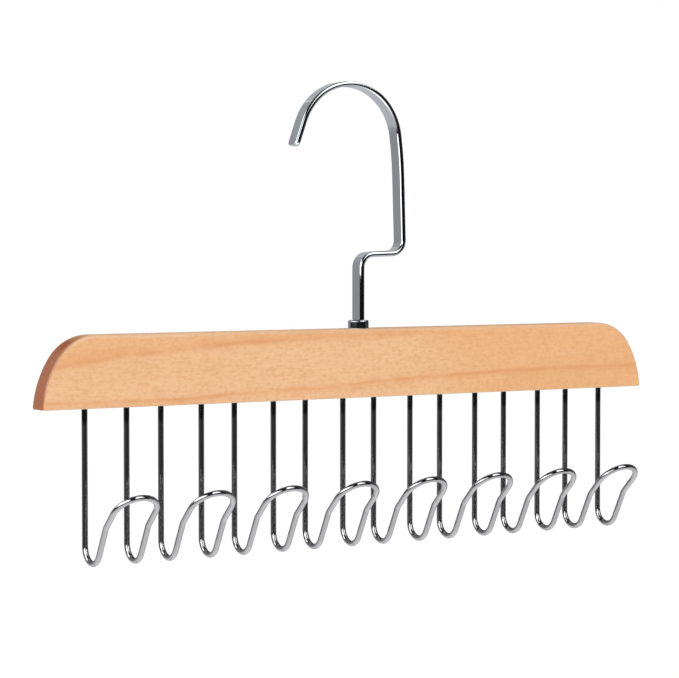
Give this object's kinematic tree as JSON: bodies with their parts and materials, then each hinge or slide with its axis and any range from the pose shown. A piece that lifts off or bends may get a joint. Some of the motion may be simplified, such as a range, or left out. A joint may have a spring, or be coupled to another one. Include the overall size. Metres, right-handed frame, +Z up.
{
  "type": "tie hanger",
  "caption": "Wooden tie and belt hanger: a flat bar with rounded ends that swivels under a flat chrome hook and carries a row of bent double wire hooks.",
  "frame": {"origin": "centre of the hook's inner crown, where the closet rod lies", "axes": "+X along the bar, away from the side that the hook's tip is on; +Y to the back; +Z up"},
  "size_m": [0.3716, 0.047, 0.2444],
  "materials": {
    "bar_wood": "clear satin lacquer on pale hardwood",
    "hook_chrome": "polished chrome plate",
    "wire_chrome": "polished chrome plate",
    "ferrule_metal": "dark nickel plate",
    "washer_steel": "plain steel"
  },
  "bodies": {
    "hook": {"swivel_hook": "hook_chrome"},
    "bar": {"wood_bar": "bar_wood", "swivel_ferrule": "ferrule_metal", "swivel_washer": "washer_steel", "wire_hook_1": "wire_chrome", "wire_hook_2": "wire_chrome", "wire_hook_3": "wire_chrome", "wire_hook_4": "wire_chrome", "wire_hook_5": "wire_chrome", "wire_hook_6": "wire_chrome", "wire_hook_7": "wire_chrome", "wire_hook_8": "wire_chrome"}
  },
  "joints": [
    {"name": "hook_swivel", "type": "hinge", "parent": "hook", "child": "bar", "pos_m": [0.00671, 0, -0.0982], "axis": [0, 0, 1], "continuous": true}
  ]
}
